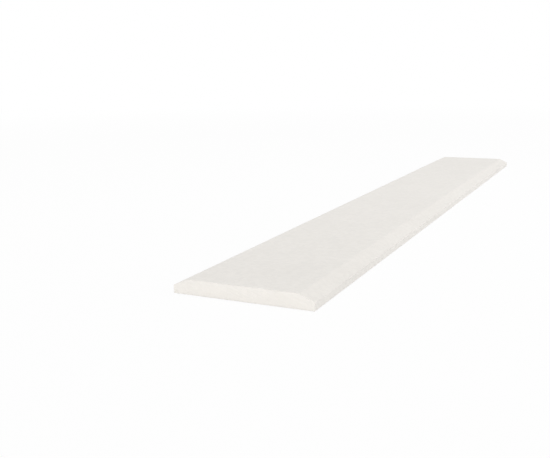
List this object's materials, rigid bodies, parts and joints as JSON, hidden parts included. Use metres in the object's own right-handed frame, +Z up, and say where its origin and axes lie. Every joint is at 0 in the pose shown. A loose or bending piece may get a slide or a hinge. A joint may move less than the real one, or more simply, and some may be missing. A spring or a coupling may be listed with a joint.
{
  "type": "threshold saddle",
  "caption": "Flat white stone door threshold bar with both long edges sloped down to a low upright nose.",
  "frame": {"origin": "middle of the underside, which is the face that is bedded on the floor", "axes": "+X along the length from jamb to jamb, +Y across the saddle from room to room, +Z up from the underside to the walking face"},
  "size_m": [0.9144, 0.127, 0.013],
  "materials": {
    "white_stone": "honed fine-grained white stone, with sawn ends and underside"
  },
  "bodies": {
    "root": {"saddle": "white_stone"}
  },
  "joints": []
}
